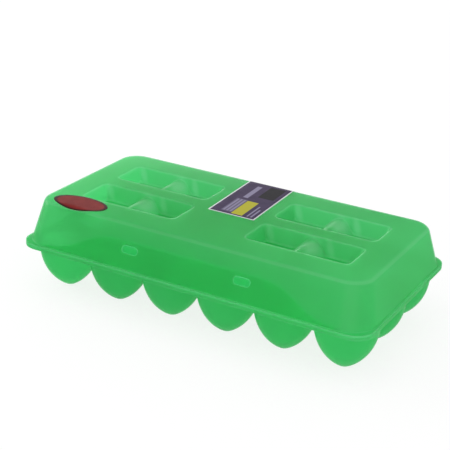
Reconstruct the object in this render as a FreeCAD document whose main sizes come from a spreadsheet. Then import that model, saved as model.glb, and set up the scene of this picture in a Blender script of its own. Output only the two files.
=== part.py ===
# Egg keeper: a tray of egg cups with a hinged, recessed lid and a sprung lock flap in front.
# Millimetres. +X runs along the length, the lock flap is at -Y, the hinge at +Y and +Z is up.
# The origin is under the middle of the closed keeper, on the surface that its cups stand on.
import FreeCAD, Part
import math
import os
import Sketcher
from FreeCAD import Placement, Rotation, Vector

COLUMNS = 6
ROW_NAMES = ["front", "middle", "rear"]
POST_ROW_NAMES = ["front", "rear"]
SIDES = [("left", -1), ("right", 1)]
FLAT = 0.001

# Driving sizes: name, value and meaning.
SIZES = [
    ("sheet", 0.8, "wall of the moulding"),
    ("cup_pitch", 48, "distance between egg centres"),
    ("cup_web", 0.6, "room between two neighbouring cups"),
    ("cup_depth", 40, "deck top above the cup feet"),
    ("cup_straight", 6, "upright stretch of cup wall under the deck"),
    ("cup_foot_radius", 4.3, "flat foot of a cup"),
    ("post_margin", 2, "deck between a post and the nearest mouths"),
    ("post_taper", 4.4, "post radius lost from base to tip"),
    ("post_gap", 0.3, "room between a post and the pocket over it"),
    ("end_margin", 2.1, "deck between the end cups and the lid wall"),
    ("side_margin", 6.3, "deck between the outer rows and the lid wall"),
    ("end_run", 7.3, "inward run of the lid's end walls"),
    ("side_run", 12.2, "inward run of the lid's long walls"),
    ("foot_corner", 22, "corner of the lid wall at the deck"),
    ("top_corner", 17, "corner of the lid wall at the lid top"),
    ("lid_height", 33.4, "lid top above the deck"),
    ("lid_edge_radius", 5, "rounding of the lid's top edge"),
    ("rim_overhang", 1.2, "rim beyond the lid wall"),
    ("rim_corner", 15, "corner of the rim"),
    ("rim_skirt", 2.3, "turned-down edge below the deck"),
    ("ridge_width", 12, "between the two pockets of a recess"),
    ("spine_width", 15, "between the front and rear recesses"),
    ("pocket_corner", 8, "corner of a pocket"),
    ("pocket_depth", 12, "pocket floor below the lid top"),
    ("pocket_draft", 5, "inward run of a pocket's walls"),
    ("ridge_drop", 3, "ridge between two pockets, below the lid top"),
    ("flap_corner_gap", 0.8, "lock flap's foot short of the lid's corners"),
    ("flap_shoulder", 63, "curved shoulder of the lock flap, along X"),
    ("flap_tail", 1.5, "upright end of the lock flap at its foot"),
    ("flap_drop", 12.5, "lock flap's top edge below the lid top"),
    ("flap_gap", 0.4, "room between the lock flap and the lid wall"),
    ("film", 0.3, "thickness of the film hinges"),
    ("film_height", 1, "film between the deck and the lock flap"),
    ("latch_spacing", 95, "between the two latch buttons"),
    ("latch_height", 15, "button centre above the deck"),
    ("button_length", 13, "latch button along X"),
    ("button_height", 5, "latch button, upright"),
    ("button_corner", 2.2, "corner of a latch button"),
    ("button_low", 0.4, "stand of a button's lower edge off the flap"),
    ("button_high", 1.4, "stand of a button's upper edge off the flap"),
    ("slot_gap", 0.4, "room round a button in its slot"),
    ("hinge_end_gap", 27, "rear hinge film short of the rim's ends"),
    ("hinge_leg", 1, "straight part of the rear hinge film"),
    ("skin", 0.15, "thickness of the sticker and the label"),
    ("sticker_length", 47.6, "oval sticker, long axis"),
    ("sticker_width", 24.4, "oval sticker, short axis"),
    ("sticker_end", 33.3, "sticker centre from the lid's left end"),
    ("sticker_side", 11.8, "sticker centre from the lid's front edge"),
    ("label_width", 40.8, "rectangular label along X"),
    ("label_front", 8.4, "label's front edge in front of the middle"),
    ("label_fold", 9, "label below the lid top on the rear wall"),
]

# Sizes that follow from the driving ones: name and formula.
DERIVED = [
    ("columns_length", "%d * cup_pitch" % (COLUMNS - 1)),
    ("rows_width", "%d * cup_pitch" % (len(ROW_NAMES) - 1)),
    ("posts_length", "%d * cup_pitch" % (COLUMNS - 2)),
    ("posts_width", "%d * cup_pitch" % (len(ROW_NAMES) - 2)),
    ("deck_under", "cup_depth - sheet"),
    ("cup_radius", "(cup_pitch - cup_web) / 2"),
    ("mouth_radius", "cup_radius - sheet"),
    ("post_base_radius", "cup_pitch / sqrt(2) - mouth_radius - post_margin"),
    ("post_tip_radius", "post_base_radius - post_taper"),
    ("post_hole_radius", "post_base_radius - sheet"),
    ("post_bore_radius", "post_tip_radius - sheet"),
    ("lid_top", "cup_depth + lid_height"),
    ("post_top", "lid_top - pocket_depth - sheet - post_gap"),
    ("post_height", "post_top - cup_depth"),
    ("foot_length", "columns_length + 2 * (cup_radius + end_margin)"),
    ("foot_width", "rows_width + 2 * (cup_radius + side_margin)"),
    ("top_length", "foot_length - 2 * end_run"),
    ("top_width", "foot_width - 2 * side_run"),
    ("rim_length", "foot_length + 2 * rim_overhang"),
    ("rim_width", "foot_width + 2 * rim_overhang"),
    ("skirt_length", "rim_length - 2 * sheet"),
    ("skirt_width", "rim_width - 2 * sheet"),
    ("skirt_corner", "rim_corner - sheet"),
    ("pocket_length", "cup_pitch - ridge_width"),
    ("pocket_width", "cup_pitch - spine_width"),
    ("ridge_draft", "pocket_draft * ridge_drop / pocket_depth"),
    ("wall_slope", "side_run / (lid_height - sheet)"),
    ("flap_foot_length", "foot_length - 2 * (foot_corner + flap_corner_gap)"),
    ("flap_top_length", "flap_foot_length - 2 * flap_shoulder"),
    ("flap_height", "lid_height - flap_drop - film_height"),
    ("flap_foot", "cup_depth + film_height"),
    ("flap_front", "foot_width / 2 - sheet - flap_gap * sqrt(1 + wall_slope ^ 2) - film_height * wall_slope"),
    ("slot_length", "button_length + 2 * slot_gap"),
    ("slot_height", "button_height + 2 * slot_gap"),
    ("button_round", "min(button_corner; button_height / 2 - 0.1)"),
    ("slot_round", "button_round + slot_gap"),
    ("latch_level", "cup_depth + latch_height"),
    ("button_drop", "latch_height - film_height - button_height / 2"),
    ("button_foot_front", "flap_front - button_drop * wall_slope"),
    ("button_head_front", "button_foot_front - button_height * wall_slope"),
    ("hinge_length", "rim_length - 2 * hinge_end_gap"),
    ("hinge_inner", "(sheet - film) / 2"),
    ("hinge_outer", "(sheet + film) / 2"),
    ("hinge_reach", "hinge_leg + hinge_outer"),
    ("middle", "-hinge_reach / 2"),
]

# The lid's outside, its hollow and the skin that its labels are cut from are one form at three insets.
LID_INSETS = {"block": "0", "core": "sheet", "skin": "-skin"}
for form, inset in LID_INSETS.items():
    DERIVED += [
        (form + "_top", "lid_top - (%s)" % inset),
        (form + "_foot_length", "foot_length - 2 * (%s)" % inset),
        (form + "_foot_width", "foot_width - 2 * (%s)" % inset),
        (form + "_foot_corner", "foot_corner - (%s)" % inset),
        (form + "_top_length", "top_length - 2 * (%s)" % inset),
        (form + "_top_width", "top_width - 2 * (%s)" % inset),
        (form + "_top_corner", "top_corner - (%s)" % inset),
        (form + "_edge_radius", "lid_edge_radius - (%s)" % inset),
    ]
# The pockets press the outside down, and the hollow is held clear of them by the wall.
for form in ("block", "core"):
    inset = LID_INSETS[form]
    DERIVED += [
        (form + "_floor", "lid_top - pocket_depth - %s" % inset),
        (form + "_ridge", "lid_top - ridge_drop - %s" % inset),
        (form + "_mouth_length", "pocket_length + 2 * %s" % inset),
        (form + "_mouth_width", "pocket_width + 2 * %s" % inset),
        (form + "_mouth_corner", "pocket_corner + %s" % inset),
        (form + "_floor_length", "%s_mouth_length - 2 * pocket_draft" % form),
        (form + "_floor_width", "%s_mouth_width - 2 * pocket_draft" % form),
        (form + "_floor_corner", "%s_mouth_corner - pocket_draft / 2" % form),
        (form + "_saddle_width", "%s_mouth_width - 2 * ridge_draft" % form),
    ]

doc = FreeCAD.newDocument("egg_keeper")
sheet = doc.addObject("Spreadsheet::Sheet", "Sizes")
sub_parts = []


def fill_sheet():
    """Write the driving sizes as plain numbers and the others as formulas, each with its name as alias."""
    rows = [(name, str(value), meaning) for name, value, meaning in SIZES]
    rows += [(name, "=" + formula, "follows from the sizes above") for name, formula in DERIVED]
    for row, (name, content, meaning) in enumerate(rows, 1):
        sheet.set("A%d" % row, name)
        sheet.set("B%d" % row, content)
        sheet.set("C%d" % row, meaning)
        sheet.setAlias("B%d" % row, name)
    doc.recompute()


def size(name):
    return float(sheet.get(name))


def bind(item, **formulas):
    """Bind properties to formulas over the sheet. Two underscores in a name stand for a dot."""
    for name, formula in formulas.items():
        item.setExpression(name.replace("__", "."), formula)


def sub_part(item, name, **place):
    """Name a finished sub-part and set it on the keeper's middle line."""
    item.Label = name
    place.setdefault("Placement__Base__y", "Sizes.middle")
    bind(item, **place)
    sub_parts.append(item)
    return item


def plane(body, role):
    return [feature for feature in body.Origin.OriginFeatures if feature.Role == role][0]


def new_body(name):
    return doc.addObject("PartDesign::Body", name)


def new_sketch(body, name, role="XY_Plane", **offset):
    sketch = body.newObject("Sketcher::SketchObject", name)
    sketch.AttachmentSupport = [(plane(body, role), "")]
    sketch.MapMode = "FlatFace"
    for axis, formula in offset.items():
        sketch.setExpression("AttachmentOffset.Base." + axis, formula)
    return sketch


def dimension(sketch, formula, *constraint):
    """Add a dimension and bind it. The geometry is drawn at its size, so the datum is read from it."""
    index = sketch.addConstraint(Sketcher.Constraint(*constraint))
    sketch.setExpression("Constraints[%d]" % index, formula)


def tie(sketch, kind, *elements):
    sketch.addConstraint(Sketcher.Constraint(kind, *elements))


def line(sketch, start, end):
    return sketch.addGeometry(Part.LineSegment(Vector(*start), Vector(*end)), False)


def arc(sketch, center, radius, start_angle, end_angle):
    circle = Part.Circle(Vector(*center), Vector(0, 0, 1), radius)
    return sketch.addGeometry(Part.ArcOfCircle(circle, start_angle, end_angle), False)


def rounded_rectangle(sketch, length, width, corner):
    """Rectangle with round corners about the sketch's origin, sized by three cells."""
    half_x = size(length) / 2
    half_y = size(width) / 2
    radius = size(corner)
    quarter = math.pi / 2
    first = sketch.GeometryCount
    x = half_x - radius
    y = half_y - radius
    sides = [((-x, -half_y), (x, -half_y)), ((half_x, -y), (half_x, y)),
             ((x, half_y), (-x, half_y)), ((-half_x, y), (-half_x, -y))]
    corners = [(x, -y), (x, y), (-x, y), (-x, -y)]
    for turn in range(4):
        line(sketch, *sides[turn])
        arc(sketch, corners[turn], radius, (turn - 1) * quarter, turn * quarter)
    for turn in range(4):
        side = first + 2 * turn
        after = first + (2 * turn + 2) % 8
        tie(sketch, "Tangent", side, 2, side + 1, 1)
        tie(sketch, "Tangent", side + 1, 2, after, 1)
        tie(sketch, "Vertical" if turn % 2 else "Horizontal", side)
        if turn:
            tie(sketch, "Equal", first + 1, side + 1)
    tie(sketch, "Symmetric", first + 1, 3, first + 5, 3, -1, 1)
    dimension(sketch, "Sizes." + corner, "Radius", first + 1, radius)
    dimension(sketch, "Sizes." + length, "DistanceX", first + 6, 1, first + 2, 1, 2 * half_x)
    dimension(sketch, "Sizes." + width, "DistanceY", first, 1, first + 4, 1, 2 * half_y)


def circle_at_origin(sketch, radius):
    index = sketch.addGeometry(Part.Circle(Vector(), Vector(0, 0, 1), size(radius)), False)
    tie(sketch, "Coincident", index, 3, -1, 1)
    dimension(sketch, "Sizes." + radius, "Radius", index, size(radius))


def rectangle(sketch, length, width):
    """Plain rectangle about the sketch's origin, sized by two cells."""
    x = size(length) / 2
    y = size(width) / 2
    corners = [(-x, -y), (x, -y), (x, y), (-x, y)]
    for turn in range(4):
        line(sketch, corners[turn], corners[(turn + 1) % 4])
    for turn in range(4):
        tie(sketch, "Coincident", turn, 2, (turn + 1) % 4, 1)
        tie(sketch, "Vertical" if turn % 2 else "Horizontal", turn)
    tie(sketch, "Symmetric", 0, 1, 2, 1, -1, 1)
    dimension(sketch, "Sizes." + length, "DistanceX", 0, 1, 0, 2, 2 * x)
    dimension(sketch, "Sizes." + width, "DistanceY", 1, 1, 1, 2, 2 * y)


def pad(body, sketch, length, reverse=False, midplane=False):
    feature = body.newObject("PartDesign::Pad", sketch.Name + "_pad")
    feature.Profile = sketch
    feature.Reversed = reverse
    feature.Midplane = midplane
    bind(feature, Length=length)
    return feature


def loft(body, kind, low, high):
    feature = body.newObject("PartDesign::" + kind, low.Name + "_loft")
    feature.Profile = low
    feature.Sections = [high]
    feature.Ruled = True
    return feature


def deck_openings(body, name, radius, columns, rows, length, width):
    """Round holes through the deck on a grid centred on the keeper."""
    sketch = new_sketch(body, name, z="Sizes.cup_depth",
                        x="-Sizes.%s / 2" % length, y="-Sizes.%s / 2" % width)
    circle_at_origin(sketch, radius)
    hole = body.newObject("PartDesign::Pocket", name + "_hole")
    hole.Profile = sketch
    bind(hole, Length="Sizes.sheet")
    grid = body.newObject("PartDesign::LinearPattern", name + "_grid")
    grid.Originals = [hole]
    grid.Direction = (plane(body, "X_Axis"), [""])
    grid.Occurrences = columns
    bind(grid, Length="Sizes." + length)
    grid.Direction2 = (plane(body, "Y_Axis"), [""])
    grid.Occurrences2 = rows
    bind(grid, Length2="Sizes." + width)
    body.Tip = grid
    return grid


def make_tray_deck():
    """Flat deck with a turned-down rim, a mouth over each cup and an opening under each post."""
    body = new_body("deck_body")
    outline = new_sketch(body, "deck_outline", z="Sizes.deck_under")
    rounded_rectangle(outline, "rim_length", "rim_width", "rim_corner")
    pad(body, outline, "Sizes.sheet")
    skirt = new_sketch(body, "deck_skirt", z="Sizes.deck_under")
    rounded_rectangle(skirt, "rim_length", "rim_width", "rim_corner")
    rounded_rectangle(skirt, "skirt_length", "skirt_width", "skirt_corner")
    pad(body, skirt, "Sizes.rim_skirt", reverse=True)
    deck_openings(body, "mouth", "mouth_radius", COLUMNS, len(ROW_NAMES), "columns_length", "rows_width")
    deck_openings(body, "post_opening", "post_hole_radius", COLUMNS - 1, len(POST_ROW_NAMES),
                  "posts_length", "posts_width")
    sub_part(body, "tray_deck")


def upright_sketch(name):
    """Sketch in the XZ plane, outside any body."""
    sketch = doc.addObject("Sketcher::SketchObject", name)
    sketch.Placement = Placement(Vector(), Rotation(Vector(1, 0, 0), 90))
    return sketch


def cup_profile():
    """Half section of a cup: upright wall, one round bulge and a flat foot."""
    sketch = upright_sketch("cup_profile")
    radius = size("cup_radius")
    foot = size("cup_foot_radius")
    top = size("deck_under")
    wall = size("sheet")
    bend = top - size("cup_straight")
    bulge = ((radius - foot) ** 2 + bend ** 2) / (2 * (radius - foot))
    center = (radius - bulge, bend)
    inner_foot = center[0] + math.sqrt((bulge - wall) ** 2 - (bend - wall) ** 2)
    foot_line = line(sketch, (0, 0), (foot, 0))
    outer_arc = arc(sketch, center, bulge, -math.asin(bend / bulge), 0)
    outer_wall = line(sketch, (radius, bend), (radius, top))
    mouth = line(sketch, (radius, top), (radius - wall, top))
    inner_wall = line(sketch, (radius - wall, top), (radius - wall, bend))
    inner_arc = arc(sketch, center, bulge - wall, -math.asin((bend - wall) / (bulge - wall)), 0)
    floor = line(sketch, (inner_foot, wall), (0, wall))
    axis = line(sketch, (0, wall), (0, 0))
    tie(sketch, "Coincident", foot_line, 1, -1, 1)
    tie(sketch, "Horizontal", foot_line)
    tie(sketch, "Coincident", foot_line, 2, outer_arc, 1)
    tie(sketch, "Tangent", outer_arc, 2, outer_wall, 1)
    tie(sketch, "Vertical", outer_wall)
    tie(sketch, "Coincident", outer_wall, 2, mouth, 1)
    tie(sketch, "Horizontal", mouth)
    tie(sketch, "Coincident", mouth, 2, inner_wall, 1)
    tie(sketch, "Vertical", inner_wall)
    tie(sketch, "Tangent", inner_wall, 2, inner_arc, 2)
    tie(sketch, "Coincident", inner_arc, 3, outer_arc, 3)
    tie(sketch, "Coincident", inner_arc, 1, floor, 1)
    tie(sketch, "Horizontal", floor)
    tie(sketch, "Coincident", floor, 2, axis, 1)
    tie(sketch, "Vertical", axis)
    tie(sketch, "Coincident", axis, 2, -1, 1)
    dimension(sketch, "Sizes.cup_foot_radius", "DistanceX", foot_line, 1, foot_line, 2, foot)
    dimension(sketch, "Sizes.cup_radius", "DistanceX", -1, 1, outer_wall, 1, radius)
    dimension(sketch, "Sizes.deck_under", "DistanceY", -1, 1, mouth, 1, top)
    dimension(sketch, "Sizes.cup_straight", "DistanceY", outer_wall, 1, outer_wall, 2, top - bend)
    dimension(sketch, "Sizes.sheet", "DistanceX", mouth, 2, mouth, 1, wall)
    dimension(sketch, "Sizes.sheet", "DistanceY", axis, 2, axis, 1, wall)
    return sketch


def post_profile():
    """Half section of a hollow post, open below and closed at its tip."""
    sketch = upright_sketch("post_profile")
    base = size("post_base_radius")
    hole = size("post_hole_radius")
    tip = size("post_tip_radius")
    bore = size("post_bore_radius")
    top = size("post_height")
    wall = size("sheet")
    corners = [(hole, 0), (base, 0), (tip, top), (0, top), (0, top - wall), (bore, top - wall)]
    for index, corner in enumerate(corners):
        line(sketch, corner, corners[(index + 1) % len(corners)])
    for index in range(len(corners)):
        tie(sketch, "Coincident", index, 2, (index + 1) % len(corners), 1)
    ring, side, cap, axis, ceiling, bore_side = range(len(corners))
    tie(sketch, "PointOnObject", ring, 1, -1)
    for flat in (ring, cap, ceiling):
        tie(sketch, "Horizontal", flat)
    tie(sketch, "PointOnObject", axis, 1, -2)
    tie(sketch, "Vertical", axis)
    dimension(sketch, "Sizes.post_hole_radius", "DistanceX", -1, 1, ring, 1, hole)
    dimension(sketch, "Sizes.post_base_radius", "DistanceX", -1, 1, side, 1, base)
    dimension(sketch, "Sizes.post_tip_radius", "DistanceX", -1, 1, cap, 1, tip)
    dimension(sketch, "Sizes.post_bore_radius", "DistanceX", -1, 1, bore_side, 1, bore)
    dimension(sketch, "Sizes.post_height", "DistanceY", -1, 1, cap, 1, top)
    dimension(sketch, "Sizes.sheet", "DistanceY", axis, 2, axis, 1, wall)
    return sketch


def make_turned_grid(profile, name, row_names, columns, height):
    """One turned sub-part for each place of a grid centred on the keeper."""
    for row, row_name in enumerate(row_names):
        for column in range(columns):
            item = doc.addObject("Part::Revolution", "%s_%s_%d" % (name, row_name, column + 1))
            item.Source = profile
            item.Axis = Vector(0, 0, 1)
            item.Angle = 360
            item.Solid = True
            across = column - (columns - 1) / 2
            along = row - (len(row_names) - 1) / 2
            sub_part(item, item.Name,
                     Placement__Base__x="%g * Sizes.cup_pitch" % across,
                     Placement__Base__y="Sizes.middle + %g * Sizes.cup_pitch" % along,
                     Placement__Base__z=height)


def lid_form(form):
    """The lid's solid form at one inset: walls that lean in and a rounded top edge."""
    body = new_body("lid_" + form)
    foot = new_sketch(body, form + "_foot", z="Sizes.cup_depth")
    rounded_rectangle(foot, form + "_foot_length", form + "_foot_width", form + "_foot_corner")
    if form == "block":
        flange = new_sketch(body, "lid_flange", z="Sizes.cup_depth")
        rounded_rectangle(flange, "rim_length", "rim_width", "rim_corner")
        pad(body, flange, "Sizes.sheet")
    else:
        pad(body, foot, "Sizes.sheet", reverse=True)
    top = new_sketch(body, form + "_top", z="Sizes.%s_top" % form)
    rounded_rectangle(top, form + "_top_length", form + "_top_width", form + "_top_corner")
    walls = loft(body, "AdditiveLoft", foot, top)
    doc.recompute()
    level = size(form + "_top")
    edges = []
    for index, edge in enumerate(walls.Shape.Edges, 1):
        if edge.BoundBox.ZMin > level - FLAT and edge.BoundBox.ZMax < level + FLAT:
            edges.append("Edge%d" % index)
    rounding = body.newObject("PartDesign::Fillet", form + "_rounding")
    rounding.Base = (walls, edges)
    bind(rounding, Radius="Sizes.%s_edge_radius" % form)
    return body


def press_pockets(body, form):
    """Press four recesses into a lid form, each two pockets with a low ridge between them."""
    features = []
    for column in (1, 2):
        place = {"x": "%d * Sizes.cup_pitch" % column, "y": "Sizes.cup_pitch / 2"}
        floor = new_sketch(body, "%s_floor_%d" % (form, column), z="Sizes.%s_floor" % form, **place)
        rounded_rectangle(floor, form + "_floor_length", form + "_floor_width", form + "_floor_corner")
        mouth = new_sketch(body, "%s_mouth_%d" % (form, column), z="Sizes.%s_top" % form, **place)
        rounded_rectangle(mouth, form + "_mouth_length", form + "_mouth_width", form + "_mouth_corner")
        features.append(loft(body, "SubtractiveLoft", floor, mouth))
    place = {"x": "1.5 * Sizes.cup_pitch", "y": "Sizes.cup_pitch / 2"}
    crest = new_sketch(body, form + "_crest", z="Sizes.%s_ridge" % form, **place)
    rectangle(crest, "cup_pitch", form + "_saddle_width")
    edge = new_sketch(body, form + "_saddle", z="Sizes.%s_top" % form, **place)
    rectangle(edge, "cup_pitch", form + "_mouth_width")
    features.append(loft(body, "SubtractiveLoft", crest, edge))
    pattern = body.newObject("PartDesign::MultiTransform", form + "_recesses")
    pattern.Originals = features
    mirrors = []
    for role in ("YZ_Plane", "XZ_Plane"):
        mirror = body.newObject("PartDesign::Mirrored", "%s_%s_mirror" % (form, role))
        mirror.MirrorPlane = (plane(body, role), [""])
        mirrors.append(mirror)
    pattern.Transformations = mirrors
    body.Tip = pattern


def boolean(kind, name, base, tool):
    item = doc.addObject("Part::" + kind, name)
    item.Base = base
    item.Tool = tool
    return item


def forward_prism(name, sketch, length):
    """Carry an upright outline forward from the keeper's middle."""
    prism = doc.addObject("Part::Extrusion", name)
    prism.Base = sketch
    prism.DirMode = "Custom"
    prism.Dir = Vector(0, -1, 0)
    prism.Solid = True
    bind(prism, LengthFwd=length)
    return prism


def latch_outline(name, side, length, height, corner):
    sketch = upright_sketch(name)
    rounded_rectangle(sketch, length, height, corner)
    bind(sketch, Placement__Base__x="%d * Sizes.latch_spacing / 2" % side,
         Placement__Base__z="Sizes.latch_level")
    return forward_prism(name + "_prism", sketch, "Sizes.rim_width / 2")


def make_lid(block):
    """Thin lid: its outside less its hollow, with a slot for each latch button."""
    core = lid_form("core")
    press_pockets(core, "core")
    hollow = boolean("Cut", "lid_hollow", block, core)
    slots = doc.addObject("Part::MultiFuse", "latch_slots")
    slots.Shapes = [latch_outline("slot_" + name, side, "slot_length", "slot_height", "slot_round")
                    for name, side in SIDES]
    sub_part(boolean("Cut", "lid_cut", hollow, slots), "lid_shell")


def leaning_block(name, length, height, back, front, back_top, front_top):
    """Block whose front and back lean, given by their distances in front of the keeper's middle."""
    block = doc.addObject("Part::Wedge", name)
    block.Placement = Placement(Vector(), Rotation(Vector(1, 0, 0), 90))
    bind(block, Xmin="-%s / 2" % length, X2min="-%s / 2" % length,
         Xmax="%s / 2" % length, X2max="%s / 2" % length,
         Ymax=height, Zmin=back, Zmax=front, Z2min=back_top, Z2max=front_top)
    return block


def flap_outline():
    """Front view of the lock flap: long foot, S-curved shoulders and a straight top edge."""
    sketch = upright_sketch("flap_outline")
    bind(sketch, Placement__Base__z="Sizes.flap_foot")
    foot = size("flap_foot_length") / 2
    top = size("flap_top_length") / 2
    height = size("flap_height")
    tail = size("flap_tail")
    run = foot - top
    rise = height - tail
    radius = (run ** 2 + rise ** 2) / (4 * rise)
    sweep = 2 * math.atan(rise / run)
    up = math.pi / 2
    foot_line = line(sketch, (-foot, 0), (foot, 0))
    right_tail = line(sketch, (foot, 0), (foot, tail))
    right_low = arc(sketch, (foot, tail + radius), radius, -up - sweep, -up)
    right_high = arc(sketch, (top, height - radius), radius, up - sweep, up)
    top_line = line(sketch, (top, height), (-top, height))
    left_high = arc(sketch, (-top, height - radius), radius, up, up + sweep)
    left_low = arc(sketch, (-foot, tail + radius), radius, -up, -up + sweep)
    left_tail = line(sketch, (-foot, tail), (-foot, 0))
    tie(sketch, "Coincident", foot_line, 2, right_tail, 1)
    tie(sketch, "Coincident", right_tail, 2, right_low, 2)
    tie(sketch, "Tangent", right_low, 1, right_high, 1)
    tie(sketch, "Tangent", right_high, 2, top_line, 1)
    tie(sketch, "Tangent", top_line, 2, left_high, 1)
    tie(sketch, "Tangent", left_high, 2, left_low, 2)
    tie(sketch, "Coincident", left_low, 1, left_tail, 1)
    tie(sketch, "Coincident", left_tail, 2, foot_line, 1)
    for level in (foot_line, top_line):
        tie(sketch, "Symmetric", level, 1, level, 2, -2)
    tie(sketch, "PointOnObject", foot_line, 1, -1)
    for upright in (right_tail, left_tail):
        tie(sketch, "Vertical", upright)
    tie(sketch, "Vertical", right_low, 3, right_tail, 2)
    tie(sketch, "Vertical", left_low, 3, left_tail, 1)
    tie(sketch, "Equal", right_low, right_high)
    tie(sketch, "Equal", left_low, left_high)
    tie(sketch, "Equal", right_tail, left_tail)
    dimension(sketch, "Sizes.flap_foot_length", "DistanceX", foot_line, 1, foot_line, 2, 2 * foot)
    dimension(sketch, "Sizes.flap_top_length", "DistanceX", top_line, 2, top_line, 1, 2 * top)
    dimension(sketch, "Sizes.flap_height", "DistanceY", foot_line, 2, top_line, 1, height)
    dimension(sketch, "Sizes.flap_tail", "DistanceY", right_tail, 1, right_tail, 2, tail)
    return sketch


def make_lock_flap():
    """Tongue that stands inside the lid's front wall, with its film hinge and two latch buttons."""
    lean = "Sizes.flap_height * Sizes.wall_slope"
    plate = leaning_block("flap_plate", "Sizes.flap_foot_length", "Sizes.flap_height",
                          "Sizes.flap_front - Sizes.sheet", "Sizes.flap_front",
                          "Sizes.flap_front - Sizes.sheet - " + lean, "Sizes.flap_front - " + lean)
    bind(plate, Placement__Base__z="Sizes.flap_foot")
    outline = forward_prism("flap_prism", flap_outline(), "Sizes.foot_width / 2")
    sub_part(boolean("Common", "flap", plate, outline), "lock_flap")
    film = doc.addObject("Part::Box", "flap_film")
    bind(film, Length="Sizes.flap_foot_length", Width="Sizes.film", Height="Sizes.film_height")
    sub_part(film, "flap_hinge_film",
             Placement__Base__x="-Sizes.flap_foot_length / 2",
             Placement__Base__y="Sizes.middle - Sizes.flap_front + (Sizes.sheet - Sizes.film) / 2",
             Placement__Base__z="Sizes.cup_depth")
    for name, side in SIDES:
        block = leaning_block("button_block_" + name, "Sizes.button_length", "Sizes.button_height",
                              "Sizes.button_foot_front", "Sizes.button_foot_front + Sizes.button_low",
                              "Sizes.button_head_front", "Sizes.button_head_front + Sizes.button_high")
        bind(block, Placement__Base__x="%d * Sizes.latch_spacing / 2" % side,
             Placement__Base__z="Sizes.latch_level - Sizes.button_height / 2")
        prism = latch_outline("button_" + name, side, "button_length", "button_height", "button_round")
        sub_part(boolean("Common", "button_cut_" + name, block, prism), "latch_button_" + name)


def make_rear_hinge():
    """Film folded into a loop behind the rim, from the deck's edge to the lid flange's edge."""
    body = new_body("hinge_body")
    sketch = new_sketch(body, "hinge_profile", "YZ_Plane")
    leg = size("hinge_leg")
    inner = size("hinge_inner")
    outer = size("hinge_outer")
    up = math.pi / 2
    low_leg = line(sketch, (0, -outer), (leg, -outer))
    outer_arc = arc(sketch, (leg, 0), outer, -up, up)
    high_leg = line(sketch, (leg, outer), (0, outer))
    high_end = line(sketch, (0, outer), (0, inner))
    high_inside = line(sketch, (0, inner), (leg, inner))
    inner_arc = arc(sketch, (leg, 0), inner, -up, up)
    low_inside = line(sketch, (leg, -inner), (0, -inner))
    low_end = line(sketch, (0, -inner), (0, -outer))
    tie(sketch, "Tangent", low_leg, 2, outer_arc, 1)
    tie(sketch, "Tangent", outer_arc, 2, high_leg, 1)
    tie(sketch, "Coincident", high_leg, 2, high_end, 1)
    tie(sketch, "Coincident", high_end, 2, high_inside, 1)
    tie(sketch, "Tangent", high_inside, 2, inner_arc, 2)
    tie(sketch, "Tangent", inner_arc, 1, low_inside, 1)
    tie(sketch, "Coincident", low_inside, 2, low_end, 1)
    tie(sketch, "Coincident", low_end, 2, low_leg, 1)
    tie(sketch, "Coincident", outer_arc, 3, inner_arc, 3)
    tie(sketch, "PointOnObject", outer_arc, 3, -1)
    for flat in (low_leg, high_inside):
        tie(sketch, "Horizontal", flat)
    for end in (high_end, low_end):
        tie(sketch, "PointOnObject", end, 1, -2)
        tie(sketch, "Vertical", end)
    dimension(sketch, "Sizes.hinge_leg", "DistanceX", low_leg, 1, low_leg, 2, leg)
    dimension(sketch, "Sizes.hinge_outer", "Radius", outer_arc, outer)
    dimension(sketch, "Sizes.hinge_inner", "Radius", inner_arc, inner)
    pad(body, sketch, "Sizes.hinge_length", midplane=True)
    sub_part(body, "rear_hinge_film",
             Placement__Base__y="Sizes.middle + Sizes.rim_width / 2", Placement__Base__z="Sizes.cup_depth")


def make_labels(block):
    """Oval sticker and rectangular label, thin skins that follow the lid over its edges."""
    skin = boolean("Cut", "lid_skin_shell", lid_form("skin"), block)
    oval = doc.addObject("Part::Ellipse", "sticker_oval")
    bind(oval, MajorRadius="Sizes.sticker_length / 2", MinorRadius="Sizes.sticker_width / 2",
         Placement__Base__x="Sizes.sticker_end - Sizes.top_length / 2",
         Placement__Base__y="Sizes.sticker_side - Sizes.top_width / 2",
         Placement__Base__z="Sizes.lid_top - Sizes.lid_edge_radius")
    punch = doc.addObject("Part::Extrusion", "sticker_punch")
    punch.Base = oval
    punch.DirMode = "Custom"
    punch.Dir = Vector(0, 0, 1)
    punch.Solid = True
    bind(punch, LengthFwd="2 * Sizes.lid_edge_radius")
    sub_part(boolean("Common", "sticker", skin, punch), "oval_sticker")
    strip = doc.addObject("Part::Box", "label_strip")
    bind(strip, Length="Sizes.label_width", Width="Sizes.label_front + Sizes.rim_width / 2",
         Height="Sizes.label_fold + 2 * Sizes.skin",
         Placement__Base__x="-Sizes.label_width / 2",
         Placement__Base__y="-Sizes.label_front",
         Placement__Base__z="Sizes.lid_top - Sizes.label_fold")
    sub_part(boolean("Common", "label", skin, strip), "top_label")


def check_and_export():
    """Stop on any failed feature or bad solid, then write one file for each sub-part."""
    doc.recompute()
    for item in doc.Objects:
        if "Invalid" in item.State or "Error" in item.State:
            raise RuntimeError("%s failed: %s" % (item.Label, item.State))
    for item in sub_parts:
        shape = item.Shape
        if shape.isNull() or not shape.isValid() or len(shape.Solids) != 1:
            raise RuntimeError("%s is not one sound solid" % item.Label)
    os.makedirs("parts", exist_ok=True)
    for item in sub_parts:
        item.Shape.exportStep("parts/%s.step" % item.Label)
        print("%-24s %10.1f mm3" % (item.Label, item.Shape.Volume))


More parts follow.
